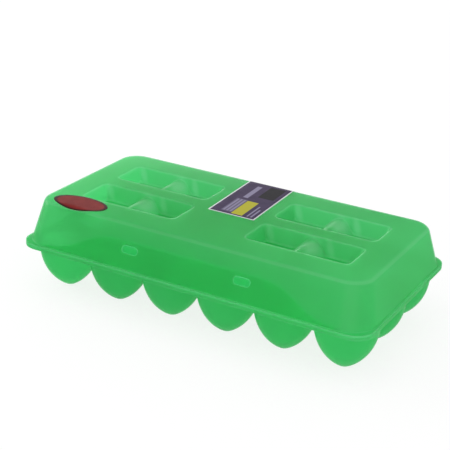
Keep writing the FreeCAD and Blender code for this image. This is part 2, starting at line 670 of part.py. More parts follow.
fill_sheet()
make_tray_deck()
make_turned_grid(cup_profile(), "egg_cup", ROW_NAMES, COLUMNS, "0")
make_turned_grid(post_profile(), "deck_post", POST_ROW_NAMES, COLUMNS - 1, "Sizes.cup_depth")
lid_block = lid_form("block")
press_pockets(lid_block, "block")
make_lid(lid_block)
make_lock_flap()
make_rear_hinge()
make_labels(lid_block)
check_and_export()
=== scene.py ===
"""Looks of a closed egg keeper: green see-through moulding, red oval sticker and dark label."""
import math

import bpy
import numpy as np
from mathutils import Matrix, Vector


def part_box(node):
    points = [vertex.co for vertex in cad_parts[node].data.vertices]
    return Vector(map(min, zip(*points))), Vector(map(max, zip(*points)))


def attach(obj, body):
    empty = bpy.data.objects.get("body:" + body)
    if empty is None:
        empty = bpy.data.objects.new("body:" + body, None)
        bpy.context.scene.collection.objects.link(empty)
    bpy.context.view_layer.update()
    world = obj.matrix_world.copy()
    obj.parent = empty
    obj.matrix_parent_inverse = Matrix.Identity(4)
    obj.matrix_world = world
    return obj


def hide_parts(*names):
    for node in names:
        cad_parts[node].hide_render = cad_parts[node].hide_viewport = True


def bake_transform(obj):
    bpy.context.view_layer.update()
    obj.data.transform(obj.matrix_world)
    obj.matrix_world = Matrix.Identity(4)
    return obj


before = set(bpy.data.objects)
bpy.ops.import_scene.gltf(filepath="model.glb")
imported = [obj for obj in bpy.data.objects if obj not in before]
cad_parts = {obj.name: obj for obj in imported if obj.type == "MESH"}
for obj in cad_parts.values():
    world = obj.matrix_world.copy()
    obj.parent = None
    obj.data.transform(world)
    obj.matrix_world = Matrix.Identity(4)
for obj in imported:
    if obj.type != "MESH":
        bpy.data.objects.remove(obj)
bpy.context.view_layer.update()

MM = 0.001

# Sizes in millimetres, as in the part's source. The deck's box gives the rim and the middle line.
deck_low, deck_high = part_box("tray_deck")
RIM_X = deck_high.x / MM
RIM_Y = (deck_high.y - deck_low.y) / 2 / MM
MIDDLE = (deck_high.y + deck_low.y) / 2 / MM
DECK = deck_high.z / MM
RIM_FOOT = deck_low.z / MM
LID_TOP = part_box("lid_shell")[1].z / MM
PITCH = 48.0
COLUMNS = 6
ROWS = 3
SHEET = 0.8
LID_SHEET = 0.7
RIM_CORNER = 15.0
CUP_RADIUS = 23.7
CUP_FOOT = 4.3
CUP_STRAIGHT = 6.0
POST_GAP = 2.0
POST_TAPER = 4.4
POST_BASE = PITCH / math.sqrt(2) - (CUP_RADIUS - SHEET) - POST_GAP
POST_TIP = POST_BASE - POST_TAPER
POST_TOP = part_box("deck_post_front_1")[1].z / MM
RIM_OVERHANG = 1.2
WALL_LEAN_END = 7.3
WALL_LEAN_SIDE = 12.2
WALL_RISE = 32.6
# Half length, half width and corner radius of the lid's wall, at the deck and at the lid's top.
WALL_FOOT = (RIM_X - RIM_OVERHANG, RIM_Y - RIM_OVERHANG, 22.0)
WALL_TOP = (WALL_FOOT[0] - WALL_LEAN_END, WALL_FOOT[1] - WALL_LEAN_SIDE, 17.0)
EDGE_RADIUS = 5.0
POCKET_HALF = (18.0, 16.5)
POCKET_CORNER = 5.0
POCKET_DEPTH = 12.0
POCKET_DRAFT = 5.0
RIDGE_DROP = 3.0
RIDGE_CURVE = 0.065
LATCH_X = 47.5
LATCH_Z = DECK + 15.0
# Latch slot and button: width, height and corner radius. Then the button's stand at its foot and head.
SLOT = (13.8, 5.8, 2.6)
BUTTON = (13.0, 5.0, 2.2)
BUTTON_STAND = (0.4, 1.4)
FLAP_FOOT = DECK + 1.0
FLAP_HEIGHT = 19.9
FLAP_HALF_FOOT = 123.0
FLAP_HALF_TOP = 60.0
FLAP_TAIL = 1.5
FLAP_SLOPE = WALL_LEAN_SIDE / WALL_RISE
FLAP_GAP = 0.4
FLAP_FRONT = WALL_FOOT[1] - SHEET - FLAP_GAP * math.sqrt(1 + FLAP_SLOPE ** 2) - FLAP_SLOPE
FILM = 0.3
HINGE_HALF = 120.0
HINGE_Y = RIM_Y + 1.0
LABEL_HALF = 20.0
LABEL_LEAN = 0.035
LABEL_MIDDLE = 32.0
LABEL_FRONT = 8.4
LABEL_HANG = 7.4
LABEL_REACH = WALL_TOP[1] + LABEL_HANG
LABEL_EDGE = 1.1
STICKER_X = -105.2
STICKER_INSET = 11.8
STICKER_CENTER = (STICKER_X, STICKER_INSET - WALL_TOP[1])
STICKER_HALF = (23.8, 12.2)
PAPER = 0.15
PAPER_SHEET = PAPER * 0.8


# Mesh helpers

EDGE_BEVEL = 0.2
SHARP_ANGLE = 50


def add_piece(name, points, faces, material, body=None, thickness=0.0):
    """Mesh from points in millimetres about the keeper's middle line, smooth, as a sheet or a solid."""
    mesh = bpy.data.meshes.new(name)
    used = sorted({corner for face in faces for corner in face})
    order = {corner: i for i, corner in enumerate(used)}
    placed = [(points[i][0] * MM, (points[i][1] + MIDDLE) * MM, points[i][2] * MM) for i in used]
    mesh.from_pydata(placed, [], [[order[corner] for corner in face] for face in faces])
    mesh.validate()
    for polygon in mesh.polygons:
        polygon.use_smooth = True
    mesh.materials.append(material)
    piece = bpy.data.objects.new(name, mesh)
    bpy.context.scene.collection.objects.link(piece)
    if thickness:
        solidify = piece.modifiers.new("wall", "SOLIDIFY")
        solidify.thickness = thickness * MM
        solidify.offset = -1
        solidify.use_even_offset = True
        solidify.use_quality_normals = True
        bevel = piece.modifiers.new("edges", "BEVEL")
        bevel.limit_method = "ANGLE"
        bevel.angle_limit = math.radians(SHARP_ANGLE)
        bevel.width = min(EDGE_BEVEL, thickness / 4) * MM
        bevel.segments = 2
    if body:
        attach(piece, body)
    return piece


class Sheet:
    """Points and faces of one sheet, with equal points merged."""

    def __init__(self):
        self.points = []
        self.faces = []
        self.known = {}

    def point(self, x, y, z):
        """Number of the point at a place, added if it is new."""
        key = (round(x, 3), round(y, 3), round(z, 3))
        if key not in self.known:
            self.known[key] = len(self.points)
            self.points.append((x, y, z))
        return self.known[key]

    def ring(self, center, radius, z, turns):
        """Numbers of the points around a centre, at the given turns."""
        x, y = center
        return [self.point(x + radius * math.cos(t), y + radius * math.sin(t), z) for t in turns]

    def face(self, *corners):
        """One face, left out where its corners merge to a line."""
        kept = [c for i, c in enumerate(corners) if c != corners[i - 1]]
        if len(kept) > 2:
            self.faces.append(kept)

    def strip(self, lower, upper, closed=True):
        """Quads between two rows of points."""
        count = len(lower)
        for i in range(count if closed else count - 1):
            j = (i + 1) % count
            self.face(lower[i], lower[j], upper[j], upper[i])

    def grid(self, rows):
        """Quads between all neighbouring rows of an open patch."""
        for lower, upper in zip(rows, rows[1:]):
            self.strip(lower, upper, closed=False)

    def fan(self, ring, center):
        """Triangles from a ring to its centre."""
        for i, start in enumerate(ring):
            self.face(start, ring[(i + 1) % len(ring)], center)


def arc_points(center, radius, start, end, count):
    """Points on an arc given in degrees, both ends included."""
    turns = [math.radians(start + (end - start) * i / count) for i in range(count + 1)]
    return [(center[0] + radius * math.cos(t), center[1] + radius * math.sin(t)) for t in turns]


def rounded_outline(half_x, half_y, corner, xs, ys, count=16):
    """Counter-clockwise rounded rectangle with fixed places along its sides, from the front's left end."""
    x = half_x - corner
    y = half_y - corner
    sides = [[(p, -half_y) for p in xs], [(half_x, p) for p in ys],
             [(p, half_y) for p in reversed(xs)], [(-half_x, p) for p in reversed(ys)]]
    corners = [(x, -y), (x, y), (-x, y), (-x, -y)]
    points = []
    for turn in range(4):
        points += sides[turn]
        points += arc_points(corners[turn], corner, 90 * turn - 90, 90 * turn, count)
    return points


def smooth_max(a, b, reach):
    """The larger of two values, with a rounded change where they come closer than the reach."""
    overlap = np.maximum(reach - np.abs(a - b), 0) / reach
    return np.maximum(a, b) + overlap * overlap * reach / 4


def smooth_min(a, b, reach):
    """The smaller of two values, with the same rounded change."""
    return -smooth_max(-a, -b, reach)


def even_places(half, count):
    """Evenly spread places from -half to half, in the given count of steps."""
    return [half * (2 * i / count - 1) for i in range(count + 1)]


def dense_places(*stretches):
    """Places along a line from (start, end, step) stretches, mirrored about 0."""
    places = [0.0]
    for start, end, step in stretches:
        count = max(1, round((end - start) / step))
        places += [start + (end - start) * (i + 1) / count for i in range(count)]
    return [-p for p in reversed(places[1:])] + places


# Lid

# Columns and rows of points in the lid's top, dense where the recesses' sides bend.
LID_XS = dense_places((0, 28, 4), (28, 37, 0.75), (37, 39.5, 1.25), (39.5, 55.5, 1.6), (55.5, 59, 1.75),
                      (59, 85, 0.8), (85, 107, 2), (107, 116, 0.75), (116, 118, 2))
LID_YS = dense_places((0, 5.5, 1.4), (5.5, 15, 0.7), (15, 33, 2), (33, 42.5, 0.7), (42.5, 46, 1.75))
# Heights of the wall's rows of points above the deck, and the block of the wall around a latch slot.
WALL_LEVELS = [SHEET + 0.5, 2, 3.5, 7, 10.5, 11.9, 13.4, 15, 16.6, 18.1, 19.5, 22, 25]
SLOT_ROWS = (10.5, 19.5)
SLOT_COLUMNS = (39.5, 55.5)
EDGE_STEPS = 10
ROOT_ROUND = 0.5
# Reach of the rounding on a recess's ridge, along its brim and at its floor.
RIDGE_BLEND = 2.0
BRIM_BLEND = 1.6
FLOOR_BLEND = 4.0


def box_inside(x, y, center, half, corner):
    """Distance inside a rounded rectangle, negative outside."""
    qx = np.abs(x - center[0]) - half[0] + corner
    qy = np.abs(y - center[1]) - half[1] + corner
    outside = np.hypot(np.maximum(qx, 0), np.maximum(qy, 0))
    return corner - outside - np.minimum(np.maximum(qx, qy), 0)


def lid_depth(x, y):
    """How far the lid top is pressed in: four long recesses, each crossed by a rounded ridge."""
    x = np.abs(x)
    y = np.abs(y)
    center = (1.5 * PITCH, PITCH / 2)
    half = (PITCH / 2 + POCKET_HALF[0], POCKET_HALF[1])
    wall = POCKET_DEPTH / POCKET_DRAFT * box_inside(x, y, center, half, POCKET_CORNER)
    ridge = RIDGE_DROP + RIDGE_CURVE * (x - center[0]) ** 2
    pressed = smooth_min(wall, ridge, RIDGE_BLEND)
    pressed = smooth_max(pressed, 0.0, BRIM_BLEND)
    return smooth_min(pressed, POCKET_DEPTH, FLOOR_BLEND)


def lid_rings():
    """Rings of the lid from the flange's edge, up the leaning wall and over the rounded top edge."""
    rim = rounded_outline(RIM_X, RIM_Y, RIM_CORNER, LID_XS, LID_YS)
    foot = rounded_outline(*WALL_FOOT, LID_XS, LID_YS)
    top = rounded_outline(*WALL_TOP, LID_XS, LID_YS)
    inward = rounded_outline(WALL_TOP[0] - 1, WALL_TOP[1] - 1, WALL_TOP[2] - 1, LID_XS, LID_YS)
    height = LID_TOP - DECK
    flange = DECK + SHEET
    rings = [[(x, y, flange) for x, y in rim], []]
    for (x, y), (rx, ry) in zip(foot, rim):
        reach = math.hypot(rx - x, ry - y)
        share = 1 - ROOT_ROUND / reach
        rings[1].append((rx + (x - rx) * share, ry + (y - ry) * share, flange))
    for lift in WALL_LEVELS:
        share = lift / height
        rings.append([(fx + (tx - fx) * share, fy + (ty - fy) * share, DECK + lift)
                      for (fx, fy), (tx, ty) in zip(foot, top)])
    edges = [[] for _ in range(EDGE_STEPS + 1)]
    for (fx, fy), (tx, ty), (ix, iy) in zip(foot, top, inward):
        peak = Vector((tx, ty, LID_TOP))
        down = (Vector((fx, fy, DECK)) - peak).normalized()
        across = Vector((ix - tx, iy - ty, 0)).normalized()
        opening = math.acos(max(-1.0, min(1.0, down.dot(across))))
        tangent = EDGE_RADIUS / math.tan(opening / 2)
        weight = math.sin(opening / 2)
        low = peak + down * tangent
        high = peak + across * tangent
        for step in range(EDGE_STEPS + 1):
            t = step / EDGE_STEPS
            shares = ((1 - t) ** 2, 2 * t * (1 - t) * weight, t * t)
            place = (low * shares[0] + peak * shares[1] + high * shares[2]) / sum(shares)
            edges[step].append(tuple(place))
    return rings + edges


def within(value, ends):
    """Whether a value lies between two ends, with room for rounding."""
    return ends[0] - 0.01 <= value <= ends[1] + 0.01


def wall_front(z):
    """Y of the lid's outer front wall at one height."""
    share = (z - DECK) / (LID_TOP - DECK)
    return -(WALL_FOOT[1] + (WALL_TOP[1] - WALL_FOOT[1]) * share)


def cut_latch_slot(sheet, rings, index, side):
    """Round the wall's mesh into a latch slot: the patch between a block of the wall and the slot's edge.

    Returns the faces of the block, which the wall leaves out.
    """
    columns = [i for i, x in enumerate(LID_XS) if within(x * side, SLOT_COLUMNS)]
    rows = [r for r, ring in enumerate(rings) if within(ring[0][2] - DECK, SLOT_ROWS)]
    left, right = columns[0], columns[-1]
    low, high = rows[0], rows[-1]
    border = [(low, c) for c in columns] + [(r, right) for r in rows[1:]]
    border += [(high, c) for c in reversed(columns[:-1])] + [(r, left) for r in reversed(rows[1:-1])]
    outer = [index[r][c] for r, c in border]
    inner = []
    middle = []
    half_x, half_z, corner = SLOT[0] / 2, SLOT[1] / 2, SLOT[2]
    block_x = (SLOT_COLUMNS[1] - SLOT_COLUMNS[0]) / 2
    block_z = (SLOT_ROWS[1] - SLOT_ROWS[0]) / 2
    for r, c in border:
        x = rings[r][c][0] - side * LATCH_X
        z = rings[r][c][2] - LATCH_Z
        flat_x = x / block_x * half_x
        flat_z = z / block_z * half_z
        over_x = max(abs(flat_x) - half_x + corner, 0)
        over_z = max(abs(flat_z) - half_z + corner, 0)
        reach = math.hypot(over_x, over_z)
        if over_x and over_z:
            flat_x = math.copysign(half_x - corner + corner * over_x / reach, x)
            flat_z = math.copysign(half_z - corner + corner * over_z / reach, z)
        for ring, share in ((middle, 0.5), (inner, 1.0)):
            px = side * LATCH_X + x + (flat_x - x) * share
            pz = LATCH_Z + z + (flat_z - z) * share
            ring.append(sheet.point(px, wall_front(pz), pz))
    sheet.strip(outer, middle)
    sheet.strip(middle, inner)
    return {(r, c) for r in rows[:-1] for c in columns[:-1]}


def make_lid(material):
    """One continuous sheet: flange, wall with its two slots, rounded edge and top with its recesses."""
    sheet = Sheet()
    rings = lid_rings()
    index = [[sheet.point(*p) for p in ring] for ring in rings]
    skipped = set()
    for side in (-1, 1):
        skipped |= cut_latch_slot(sheet, rings, index, side)
    count = len(rings[0])
    for r in range(len(rings) - 1):
        for i in range(count):
            if (r, i) not in skipped:
                j = (i + 1) % count
                sheet.face(index[r][i], index[r][j], index[r + 1][j], index[r + 1][i])
    xs = np.array(LID_XS)
    ys = np.array(LID_YS)
    heights = LID_TOP - lid_depth(xs[None, :], ys[:, None])
    grid = [[sheet.point(x, y, heights[k][i]) for i, x in enumerate(LID_XS)] for k, y in enumerate(LID_YS)]
    sheet.grid(grid)
    last = index[-1]
    nx, ny = len(LID_XS), len(LID_YS)
    bend = (count - 2 * nx - 2 * ny) // 4
    borders = [grid[0], [row[-1] for row in grid], grid[-1][::-1], [row[0] for row in grid][::-1]]
    place = 0
    for border in borders:
        edge = last[place:place + len(border)]
        sheet.strip(edge, border, closed=False)
        corner = [edge[-1]] + last[place + len(border):place + len(border) + bend]
        corner.append(last[(place + len(border) + bend) % count])
        for start, end in zip(corner, corner[1:]):
            sheet.face(start, end, border[-1])
        place += len(border) + bend
    lid = add_piece("lid_sheet", sheet.points, sheet.faces, material, "lid", LID_SHEET)
    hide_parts("lid_shell")


# Tray

MOUTH = CUP_RADIUS - SHEET
MOUTH_ROUND = 0.9
POST_ROUND = 0.8
POST_RING = POST_BASE + POST_ROUND
TIP_ROUND = 0.9
TIP_SWELL = 0.05
EDGE_PARTS = 14
CORNER_PARTS = 10
CUP_STEPS = 13
# Rings of a cup's flat foot: radius and lift. The round side starts at a share of its whole turn.
FOOT_RINGS = ((1.5, 0.0), (3.2, 0.02))
SIDE_START = 0.985
STRAIGHT_RING = 2.5
# Degrees along the rounded edges of a mouth, a post's foot and its tip, and shares of a post's rise.
MOUTH_TURNS = (22, 45, 68, 90)
POST_FOOT_TURNS = (30, 60, 85)
POST_TIP_TURNS = (20, 50, 90)
POST_SHARES = (0.12, 0.35, 0.6, 0.85, 0.95)


def cup_rings():
    """Radius and height of the cup's inside, from the foot up to the rounded mouth."""
    bend = DECK - SHEET - CUP_STRAIGHT
    bulge = ((CUP_RADIUS - CUP_FOOT) ** 2 + bend ** 2) / (2 * (CUP_RADIUS - CUP_FOOT))
    center = CUP_RADIUS - bulge
    inside = bulge - SHEET
    rings = [(radius, SHEET + lift) for radius, lift in FOOT_RINGS]
    lowest = math.asin((bend - SHEET) / inside)
    for step in range(CUP_STEPS):
        turn = lowest * SIDE_START * (1 - step / CUP_STEPS)
        rings.append((center + inside * math.cos(turn), bend - inside * math.sin(turn)))
    rings += [(MOUTH, bend), (MOUTH, bend + STRAIGHT_RING), (MOUTH, DECK - MOUTH_ROUND)]
    for turn in MOUTH_TURNS:
        angle = math.radians(turn)
        radius = MOUTH + MOUTH_ROUND * (1 - math.cos(angle))
        rings.append((radius, DECK - MOUTH_ROUND * (1 - math.sin(angle))))
    return rings


def cell_border(posts):
    """Border of one cup's cell, counter-clockwise from its lower right: straight sides and four corners.

    posts tells which corners a post rounds, in the order right rear, left rear, left front, right front.
    """
    half = PITCH / 2
    reach = half - POST_RING
    points = []
    for turn in range(4):
        side = [(half, -reach + 2 * reach * i / EDGE_PARTS) for i in range(EDGE_PARTS)]
        if posts[turn]:
            corner = arc_points((half, half), POST_RING, 270, 180, CORNER_PARTS)[:-1]
        else:
            step = POST_RING / (CORNER_PARTS / 2)
            corner = [(half, reach + step * i) for i in range(CORNER_PARTS // 2)]
            corner += [(half - step * i, half) for i in range(CORNER_PARTS // 2)]
        for x, y in side + corner:
            for _ in range(turn):
                x, y = -y, x
            points.append((x, y))
    return points


def post_rings():
    """Radius and height of a post's outside, from its rounded foot to its tip."""
    rise = POST_TOP - DECK
    rings = [(POST_RING, DECK)]
    for turn in POST_FOOT_TURNS:
        angle = math.radians(turn)
        rings.append((POST_RING - POST_ROUND * math.sin(angle), DECK + POST_ROUND * (1 - math.cos(angle))))
    for share in POST_SHARES:
        rings.append((POST_BASE + (POST_TIP - POST_BASE) * share, DECK + rise * share))
    for turn in POST_TIP_TURNS:
        angle = math.radians(turn)
        radius = POST_TIP - TIP_ROUND + (TIP_ROUND + TIP_SWELL) * math.cos(angle)
        rings.append((radius, POST_TOP - TIP_ROUND + TIP_ROUND * math.sin(angle)))
    return rings


def rim_point(x, y):
    """Nearest place on the rim's outline."""
    core_x = max(-RIM_X + RIM_CORNER, min(RIM_X - RIM_CORNER, x))
    core_y = max(-RIM_Y + RIM_CORNER, min(RIM_Y - RIM_CORNER, y))
    away = math.hypot(x - core_x, y - core_y)
    reach = RIM_CORNER / away
    return core_x + (x - core_x) * reach, core_y + (y - core_y) * reach


def border_places(cells):
    """Places along the outer border of a row of cells, where the cells' own borders have points."""
    rear_side = [x for x, y in cell_border([False] * 4) if y > PITCH / 2 - 0.001]
    end = cells * PITCH / 2
    inner = {round((c - (cells - 1) / 2) * PITCH + x, 4) for c in range(cells) for x in rear_side}
    return sorted(inner | {-end, end})


def make_rim(sheet):
    """Border of the deck from the outer cells to the rim, and the rim's turned-down edge."""
    half_x = COLUMNS * PITCH / 2
    half_y = ROWS * PITCH / 2
    xs = border_places(COLUMNS)
    ys = border_places(ROWS)
    path = [(x, -half_y) for x in xs[:-1]] + [(half_x, y) for y in ys[:-1]]
    path += [(x, half_y) for x in reversed(xs[1:])] + [(-half_x, y) for y in reversed(ys[1:])]
    last = [sheet.point(x, y, DECK) for x, y in path]
    for z in (DECK, RIM_FOOT):
        ring = [sheet.point(*rim_point(x, y), z) for x, y in path]
        sheet.strip(ring, last)
        last = ring


def make_tray(material):
    """One continuous sheet: cups, deck, posts and the turned-down rim."""
    sheet = Sheet()
    rings = cup_rings()
    for row in range(ROWS):
        for column in range(COLUMNS):
            cx = (column - (COLUMNS - 1) / 2) * PITCH
            cy = (row - (ROWS - 1) / 2) * PITCH
            right, left = column < COLUMNS - 1, column > 0
            rear, front = row < ROWS - 1, row > 0
            border = cell_border([right and rear, left and rear, left and front, right and front])
            angles = [math.atan2(y, x) for x, y in border]
            last = None
            for radius, z in rings:
                ring = sheet.ring((cx, cy), radius, z, angles)
                if last:
                    sheet.strip(ring, last)
                else:
                    sheet.fan(ring, sheet.point(cx, cy, SHEET))
                last = ring
            sheet.strip([sheet.point(cx + x, cy + y, DECK) for x, y in border], last)
    posts = post_rings()
    turns = [math.radians(360 * i / (4 * CORNER_PARTS)) for i in range(4 * CORNER_PARTS)]
    for row in range(ROWS - 1):
        for column in range(COLUMNS - 1):
            px = (column - (COLUMNS - 2) / 2) * PITCH
            py = (row - (ROWS - 2) / 2) * PITCH
            last = None
            for radius, z in posts:
                ring = sheet.ring((px, py), radius, z, turns)
                if last:
                    sheet.strip(last, ring)
                last = ring
            sheet.fan(last, sheet.point(px, py, POST_TOP))
    make_rim(sheet)
    tray = add_piece("tray_sheet", sheet.points, sheet.faces, material, "tray", SHEET)
    nodes = [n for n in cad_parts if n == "tray_deck" or n.startswith(("egg_cup_", "deck_post_"))]
    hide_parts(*nodes)


# Lock flap with its buttons, and the two film hinges

FLAP_ROWS = 10
FILM_COLUMNS = 40
FILM_ROWS = 5
FILM_TURNS = 10
FILM_BITE = 0.02
# Rings of a button from its root to its face: inset from its outline and share of its stand.
BUTTON_RINGS = ((0.0, -0.15), (0.0, 0.55), (0.12, 0.82), (0.4, 0.97), (0.8, 1.0), (1.6, 1.0))
BUTTON_LEAST_CORNER = 0.3
BUTTON_COLUMNS = 8
BUTTON_CORNER_PARTS = 6


def flap_rise(x):
    """Height of the flap's top edge above its foot: straight in the middle, S-curved shoulders."""
    run = FLAP_HALF_FOOT - FLAP_HALF_TOP
    rise = FLAP_HEIGHT - FLAP_TAIL
    radius = (run ** 2 + rise ** 2) / (4 * rise)
    beyond = abs(x) - FLAP_HALF_TOP
    if beyond <= 0:
        return FLAP_HEIGHT
    if beyond < run / 2:
        return FLAP_HEIGHT - radius + math.sqrt(radius ** 2 - beyond ** 2)
    return FLAP_TAIL + radius - math.sqrt(radius ** 2 - (run - beyond) ** 2)


def make_flap(material):
    """Leaning tongue behind the lid's front wall, with its film and its two buttons."""
    sheet = Sheet()
    xs = dense_places((0, FLAP_HALF_TOP, 6), (FLAP_HALF_TOP, FLAP_HALF_FOOT, 1.5))
    grid = []
    for k in range(FLAP_ROWS + 1):
        row = []
        for x in xs:
            lift = flap_rise(x) * k / FLAP_ROWS
            row.append(sheet.point(x, -FLAP_FRONT + lift * FLAP_SLOPE, FLAP_FOOT + lift))
        grid.append(row)
    sheet.grid(grid)
    flap = add_piece("flap_sheet", sheet.points, sheet.faces, material, "lock_flap", SHEET)
    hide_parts("lock_flap")
    make_flap_film(material)
    for name, side in (("left", -1), ("right", 1)):
        make_button(name, side, material)


def make_flap_film(material):
    """Thin strip of film at the flap's foot, built flat."""
    sheet = Sheet()
    xs = even_places(FLAP_HALF_FOOT, FILM_COLUMNS)
    y = -FLAP_FRONT + (SHEET - FILM) / 2
    levels = [DECK + (FLAP_FOOT - DECK) * k / FILM_ROWS for k in range(FILM_ROWS + 1)]
    sheet.grid([[sheet.point(x, y, z) for x in xs] for z in levels])
    film = add_piece("flap_film", sheet.points, sheet.faces, material, None, FILM)
    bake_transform(film)
    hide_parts("flap_hinge_film")


def make_button(name, side, material):
    """Latch button: a ramped pad with rounded edges on the flap's outer face."""
    sheet = Sheet()
    half_x, half_z, corner = BUTTON[0] / 2, BUTTON[1] / 2, BUTTON[2]
    foot_z = LATCH_Z - half_z
    xs = even_places(half_x - corner, BUTTON_COLUMNS)[1:-1]
    last = None
    for inset, share in BUTTON_RINGS:
        rounding = max(corner - inset, BUTTON_LEAST_CORNER)
        outline = rounded_outline(half_x - inset, half_z - inset, rounding, xs, [0.0], BUTTON_CORNER_PARTS)
        ring = []
        for x, z in outline:
            level = LATCH_Z + z
            up = (level - foot_z) / BUTTON[1]
            stand = BUTTON_STAND[0] + (BUTTON_STAND[1] - BUTTON_STAND[0]) * up
            face = -FLAP_FRONT + (level - FLAP_FOOT) * FLAP_SLOPE
            ring.append(sheet.point(side * LATCH_X + x, face - stand * share, level))
        if last:
            sheet.strip(last, ring)
        else:
            sheet.faces.append(ring[::-1])
        last = ring
    sheet.faces.append(last)
    button = add_piece("button_" + name, sheet.points, sheet.faces, material, "lock_flap")
    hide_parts("latch_button_" + name)


def make_rear_film(material):
    """Folded film behind the rim, along the lid's hinge line."""
    sheet = Sheet()
    inner, outer = (SHEET - FILM) / 2, (SHEET + FILM) / 2
    root = RIM_Y - FILM_BITE
    section = [(root, DECK - outer)]
    section += arc_points((HINGE_Y, DECK), outer, -90, 90, FILM_TURNS)
    section += [(root, DECK + outer), (root, DECK + inner)]
    section += arc_points((HINGE_Y, DECK), inner, 90, -90, FILM_TURNS)
    section += [(root, DECK - inner)]
    rings = [[sheet.point(x, y, z) for y, z in section] for x in even_places(HINGE_HALF, FILM_COLUMNS)]
    for ring, following in zip(rings, rings[1:]):
        sheet.strip(ring, following)
    sheet.faces.append(rings[0][::-1])
    sheet.faces.append(rings[-1])
    film = add_piece("rear_film", sheet.points, sheet.faces, material)
    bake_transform(film)
    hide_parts("rear_hinge_film")


# Sticker and label

LABEL_COLUMNS = 12
LABEL_ROWS = 60
STICKER_PARTS = 72
STICKER_SHARES = (0.25, 0.5, 0.75, 0.9, 1.0)


def lid_line(reach):
    """Place on the lid's long-side section, by its distance along the surface from the lid's middle line.

    Returns the distance from the middle and the height, and the outward direction there.
    """
    lean = math.atan2(WALL_FOOT[1] - WALL_TOP[1], LID_TOP - DECK)
    sweep = math.pi / 2 - lean
    tangent = EDGE_RADIUS * math.tan(sweep / 2)
    flat = WALL_TOP[1] - tangent
    if reach <= flat:
        return reach, LID_TOP, (0.0, 1.0)
    turn = (reach - flat) / EDGE_RADIUS
    if turn <= sweep:
        out = (math.sin(turn), math.cos(turn))
        return flat + EDGE_RADIUS * out[0], LID_TOP - EDGE_RADIUS * (1 - out[1]), out
    out = (math.sin(sweep), math.cos(sweep))
    down = reach - flat - EDGE_RADIUS * sweep
    along = flat + EDGE_RADIUS * out[0] + down * math.sin(lean)
    return along, LID_TOP - EDGE_RADIUS * (1 - out[1]) - down * math.cos(lean), out


def lay_paper(name, places, faces, material, node_name):
    """Thin paper on the lid: places are (x, distance along the surface from the middle line)."""
    points = []
    for x, reach in places:
        along, z, out = lid_line(abs(reach))
        points.append((x, math.copysign(along + PAPER * out[0], reach), z + PAPER * out[1]))
    paper = add_piece(name, points, faces, material, "lid", PAPER_SHEET)
    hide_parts(node_name)


def make_label(material):
    """Rectangular label from in front of the lid's middle back over its rear edge, a little askew."""
    xs = even_places(LABEL_HALF, LABEL_COLUMNS)
    lines = [-LABEL_FRONT + (LABEL_REACH + LABEL_FRONT) * k / LABEL_ROWS for k in range(LABEL_ROWS + 1)]
    places = [(x - LABEL_LEAN * (reach - LABEL_MIDDLE), reach) for reach in lines for x in xs]
    faces = []
    for k in range(LABEL_ROWS):
        for i in range(LABEL_COLUMNS):
            a = k * len(xs) + i
            faces.append((a, a + 1, a + len(xs) + 1, a + len(xs)))
    lay_paper("label_sheet", places, faces, material, "top_label")


def make_sticker(material):
    """Oval sticker at the front left, over the rounded front edge."""
    places = [STICKER_CENTER]
    faces = []
    for share in STICKER_SHARES:
        for i in range(STICKER_PARTS):
            turn = 2 * math.pi * i / STICKER_PARTS
            x = STICKER_CENTER[0] + STICKER_HALF[0] * share * math.cos(turn)
            y = STICKER_CENTER[1] + STICKER_HALF[1] * share * math.sin(turn)
            places.append((x, y))
    for i in range(STICKER_PARTS):
        j = (i + 1) % STICKER_PARTS
        faces.append((0, 1 + i, 1 + j))
        for k in range(len(STICKER_SHARES) - 1):
            a = 1 + k * STICKER_PARTS
            faces.append((a + i, a + STICKER_PARTS + i, a + STICKER_PARTS + j, a + j))
    lay_paper("sticker_sheet", places, faces, material, "oval_sticker")


# Material helpers

# Numbers of the colour sockets of a mix node.
MIX_BELOW, MIX_ABOVE, MIX_RESULT = 6, 7, 2


def nodes_of(name):
    """New material with nothing but its output."""
    material = bpy.data.materials.new(name)
    material.use_nodes = True
    tree = material.node_tree
    tree.nodes.clear()
    output = tree.nodes.new("ShaderNodeOutputMaterial")
    return material, tree, output


def node(tree, kind, **values):
    """Add a node. Values set its properties or its inputs by name."""
    made = tree.nodes.new(kind)
    for key, value in values.items():
        if key in made.inputs:
            made.inputs[key].default_value = value
        else:
            setattr(made, key, value)
    return made


def fill(tree, socket, term):
    """Give an input a plain number, or link it to an output."""
    if isinstance(term, (int, float)):
        socket.default_value = term
    else:
        tree.links.new(term, socket)


def calculate(tree, operation, *terms):
    """Result of a math node. Each term is a number or an output."""
    made = node(tree, "ShaderNodeMath", operation=operation)
    for socket, term in zip(made.inputs, terms):
        fill(tree, socket, term)
    return made.outputs[0]


def axes_of(tree, vector):
    """The X, Y and Z outputs of a vector."""
    made = node(tree, "ShaderNodeSeparateXYZ")
    tree.links.new(vector, made.inputs[0])
    return made.outputs


def ramp(tree, value, start, end, smooth=False):
    """Value that runs between two (value, result) pairs."""
    made = node(tree, "ShaderNodeMapRange", interpolation_type="SMOOTHSTEP" if smooth else "LINEAR")
    made.inputs["From Min"].default_value, made.inputs["To Min"].default_value = start
    made.inputs["From Max"].default_value, made.inputs["To Max"].default_value = end
    tree.links.new(value, made.inputs["Value"])
    return made.outputs["Result"]


def window(tree, value, low, high, soft):
    """1 where the value lies between low and high, with soft ends."""
    rise = ramp(tree, value, (low - soft, 0.0), (low + soft, 1.0), smooth=True)
    fall = ramp(tree, value, (high - soft, 1.0), (high + soft, 0.0), smooth=True)
    return calculate(tree, "MULTIPLY", rise, fall)


